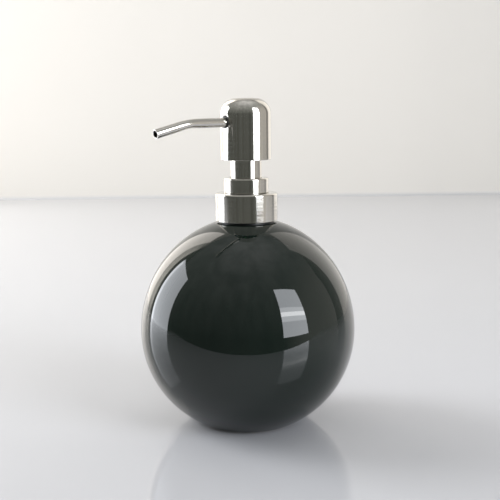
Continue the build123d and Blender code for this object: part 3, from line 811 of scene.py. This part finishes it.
class DISPENSER_OT_stage(Operator):
    """Set the camera, the pale table and wall, and the soft lights"""

    bl_idname = "dispenser.stage"
    bl_label = "Studio"

    def execute(self, context):
        size = context.scene.stage_settings
        self.toward = Vector((math.sin(size.camera_azimuth), -math.cos(size.camera_azimuth), 0))
        self.right = Vector((math.cos(size.camera_azimuth), math.sin(size.camera_azimuth), 0))
        context.scene.view_settings.view_transform = "Standard"
        self.camera(context, size)
        self.table_and_wall(size)
        for box in SOFT_BOXES:
            self.soft_box(context, *box)
        self.world(context, size)
        return {"FINISHED"}

    def camera(self, context, size):
        """The camera stands at its bearing, looks a little to one side of the axis and is rolled."""
        camera = bpy.data.objects.new("Camera", bpy.data.cameras.new("Camera"))
        context.scene.collection.objects.link(camera)
        camera.data.lens = size.lens
        camera.location = self.toward * size.camera_distance + Vector((0, 0, size.camera_height))
        aim = self.right * size.aim_right + Vector((0, 0, size.aim_height))
        camera.rotation_mode = "QUATERNION"
        level = (aim - camera.location).to_track_quat("-Z", "Y")
        camera.rotation_quaternion = level @ Quaternion((0, 0, 1), -size.camera_roll)
        context.scene.camera = camera

    def table_and_wall(self, size):
        """The table runs back to a tight bend and up the wall. Its front part is a sheet of its own
        that glossy surfaces don't mirror, so that they show the dark room in front of the table."""
        bend = size.wall_bend
        foot = Vector((size.wall_distance - bend, bend))
        section = [Vector((-size.table_front, 0))]
        section += [Vector((p.x, p.y)) for p in arc(foot, bend, -math.pi / 2, 0)]
        section.append(Vector((size.wall_distance, size.wall_height)))
        back = self.sheet("table_and_wall", section, size)
        apron = [Vector((-size.room_size, 0)), Vector((-size.table_front, 0))]
        front = self.sheet("table_front", apron, size)
        front.visible_glossy = False
        surface = self.table_and_wall_material(size)
        for sheet in (back, front):
            sheet.data.materials.append(surface)

    def sheet(self, name, section, size):
        """A sheet as wide as the room, along a section of (distance behind the axis, height)."""
        mesh = bmesh.new()
        rows = []
        for behind, height in section:
            middle = Vector((0, 0, height)) - self.toward * behind
            ends = (middle + self.right * side * size.room_size for side in (-1, 1))
            rows.append([mesh.verts.new(end) for end in ends])
        for near, far in zip(rows, rows[1:]):
            mesh.faces.new((near[0], near[1], far[1], far[0]))
        return new_piece(name, mesh)

    def table_and_wall_material(self, size):
        """Lacquered table top, which turns to matt painted wall above the bend."""
        made, tree, place = new_material("Lacquered table and painted wall")
        height = add_node(tree, "ShaderNodeSeparateXYZ", {}, {"Vector": place}).outputs["Z"]
        rise = add_node(tree, "ShaderNodeMapRange", {"From Max": size.wall_bend}, {"Value": height})
        colour = add_node(
            tree, "ShaderNodeMix", {FIRST: size.table_tint, SECOND: size.wall_tint}, {SHARE: rise},
            data_type="RGBA",
        )
        gloss = add_node(
            tree, "ShaderNodeMapRange", {"To Min": STAGE_GLOSS[0], "To Max": STAGE_GLOSS[1]},
            {"Value": rise},
        )
        shader = add_node(
            tree, "ShaderNodeBsdfPrincipled", {"IOR": 1.5},
            {"Base Color": colour.outputs[MIXED], "Roughness": gloss},
        )
        add_node(tree, "ShaderNodeOutputMaterial", {}, {"Surface": shader})
        return made

    def soft_box(self, context, name, first, second, low_edge, high_edge, glow, tint, in_gloss):
        """An upright panel light that faces the dispenser. first and second are its two side edges,
        each a bearing in degrees to the camera's right, and a distance. glow is its brightness,
        where 1 shows as white."""
        ends = []
        for bearing, distance in (first, second):
            angle = math.radians(bearing)
            ends.append((self.toward * math.cos(angle) + self.right * math.sin(angle)) * distance)
        middle = (ends[0] + ends[1]) / 2
        along = (ends[1] - ends[0]).normalized()
        upright = Vector((0, 0, 1))
        if along.cross(upright).dot(middle) < 0:
            along = -along
        data = bpy.data.lights.new(name, "AREA")
        data.shape = "RECTANGLE"
        data.size = (ends[1] - ends[0]).length
        data.size_y = high_edge - low_edge
        data.energy = glow * math.pi * data.size * data.size_y
        data.color = linear(tint)[:3]
        light = bpy.data.objects.new(name, data)
        facing = Matrix((along, upright, along.cross(upright))).transposed().to_4x4()
        centre = middle + upright * (low_edge + high_edge) / 2
        light.matrix_world = Matrix.Translation(centre) @ facing
        light.visible_camera = False
        light.visible_glossy = in_gloss
        context.scene.collection.objects.link(light)

    def world(self, context, size):
        """A dim room with upright shapes in it, lighter overhead and on the right. The camera sees a
        pale backdrop in its place."""
        world = bpy.data.worlds.new("Studio")
        world.use_nodes = True
        tree = world.node_tree
        tree.nodes.clear()
        place = add_node(tree, "ShaderNodeTexCoord").outputs["Generated"]
        height = add_node(tree, "ShaderNodeSeparateXYZ", {}, {"Vector": place}).outputs["Z"]
        room = add_node(tree, "ShaderNodeValToRGB", {}, {"Fac": height})
        steps = room.color_ramp.elements
        while len(steps) < len(ROOM):
            steps.new(1.0)
        for step, (rise, code) in zip(steps, ROOM):
            step.position = rise
            step.color = linear(code)
        upright = add_node(tree, "ShaderNodeMapping", {"Scale": ROOM_SHAPES}, {"Vector": place})
        shapes = add_node(tree, "ShaderNodeTexNoise", {"Scale": 1.0, "Detail": 3.0}, {"Vector": upright})
        shade = add_node(
            tree, "ShaderNodeMapRange",
            {
                "From Min": SHAPE_RANGE[0], "From Max": SHAPE_RANGE[1],
                "To Min": 1 - size.room_contrast, "To Max": 1.0,
            },
            {"Value": shapes},
        )
        shaded = add_node(
            tree, "ShaderNodeMix", {SHARE: 1.0}, {FIRST: room, SECOND: shade}, data_type="RGBA",
            blend_type="MULTIPLY",
        )
        sideways = add_node(
            tree, "ShaderNodeVectorMath", {1: self.right}, {0: place}, operation="DOT_PRODUCT"
        ).outputs["Value"]
        side = add_node(
            tree, "ShaderNodeMapRange", {"From Min": SIDE_RANGE[0], "From Max": SIDE_RANGE[1]},
            {"Value": sideways}, interpolation_type="SMOOTHSTEP",
        )
        lit = add_node(
            tree, "ShaderNodeMix", {SECOND: size.side_tint},
            {SHARE: side, FIRST: shaded.outputs[MIXED]}, data_type="RGBA",
        )
        seen = add_node(tree, "ShaderNodeLightPath").outputs["Is Camera Ray"]
        mix = add_node(
            tree, "ShaderNodeMix", {SECOND: size.backdrop_tint},
            {SHARE: seen, FIRST: lit.outputs[MIXED]}, data_type="RGBA",
        )
        glow = add_node(tree, "ShaderNodeBackground", {}, {"Color": mix.outputs[MIXED]})
        add_node(tree, "ShaderNodeOutputWorld", {}, {"Surface": glow})
        context.scene.world = world


OPERATORS = (
    DISPENSER_OT_bottle,
    DISPENSER_OT_collar,
    DISPENSER_OT_guide_ring,
    DISPENSER_OT_stem_sleeve,
    DISPENSER_OT_button,
    DISPENSER_OT_spout,
    DISPENSER_OT_inner_works,
    DISPENSER_OT_stage,
)


class DISPENSER_PT_panel(Panel):
    """Lists the dispenser's pieces in the order they are made"""

    bl_idname = "DISPENSER_PT_panel"
    bl_label = "Soap Pump Dispenser"
    bl_space_type = "VIEW_3D"
    bl_region_type = "UI"
    bl_category = "Dispenser"

    def draw(self, context):
        for operator in OPERATORS:
            self.layout.operator(operator.bl_idname)
        for settings in ("bottle_settings", "pump_settings", "stage_settings"):
            group = getattr(context.scene, settings)
            box = self.layout.box()
            for name in group.__annotations__:
                box.prop(group, name)


CLASSES = (BottleSettings, PumpSettings, StageSettings, *OPERATORS, DISPENSER_PT_panel)


def register():
    for cls in CLASSES:
        bpy.utils.register_class(cls)
    bpy.types.Scene.bottle_settings = PointerProperty(type=BottleSettings)
    bpy.types.Scene.pump_settings = PointerProperty(type=PumpSettings)
    bpy.types.Scene.stage_settings = PointerProperty(type=StageSettings)


def unregister():
    del bpy.types.Scene.stage_settings
    del bpy.types.Scene.pump_settings
    del bpy.types.Scene.bottle_settings
    for cls in reversed(CLASSES):
        bpy.utils.unregister_class(cls)


def main():
    register()
    bpy.ops.dispenser.bottle()
    bpy.ops.dispenser.collar()
    bpy.ops.dispenser.guide_ring()
    bpy.ops.dispenser.stem_sleeve()
    bpy.ops.dispenser.button()
    bpy.ops.dispenser.spout()
    bpy.ops.dispenser.inner_works()
    bpy.ops.dispenser.stage()


if __name__ == "__main__":
    main()
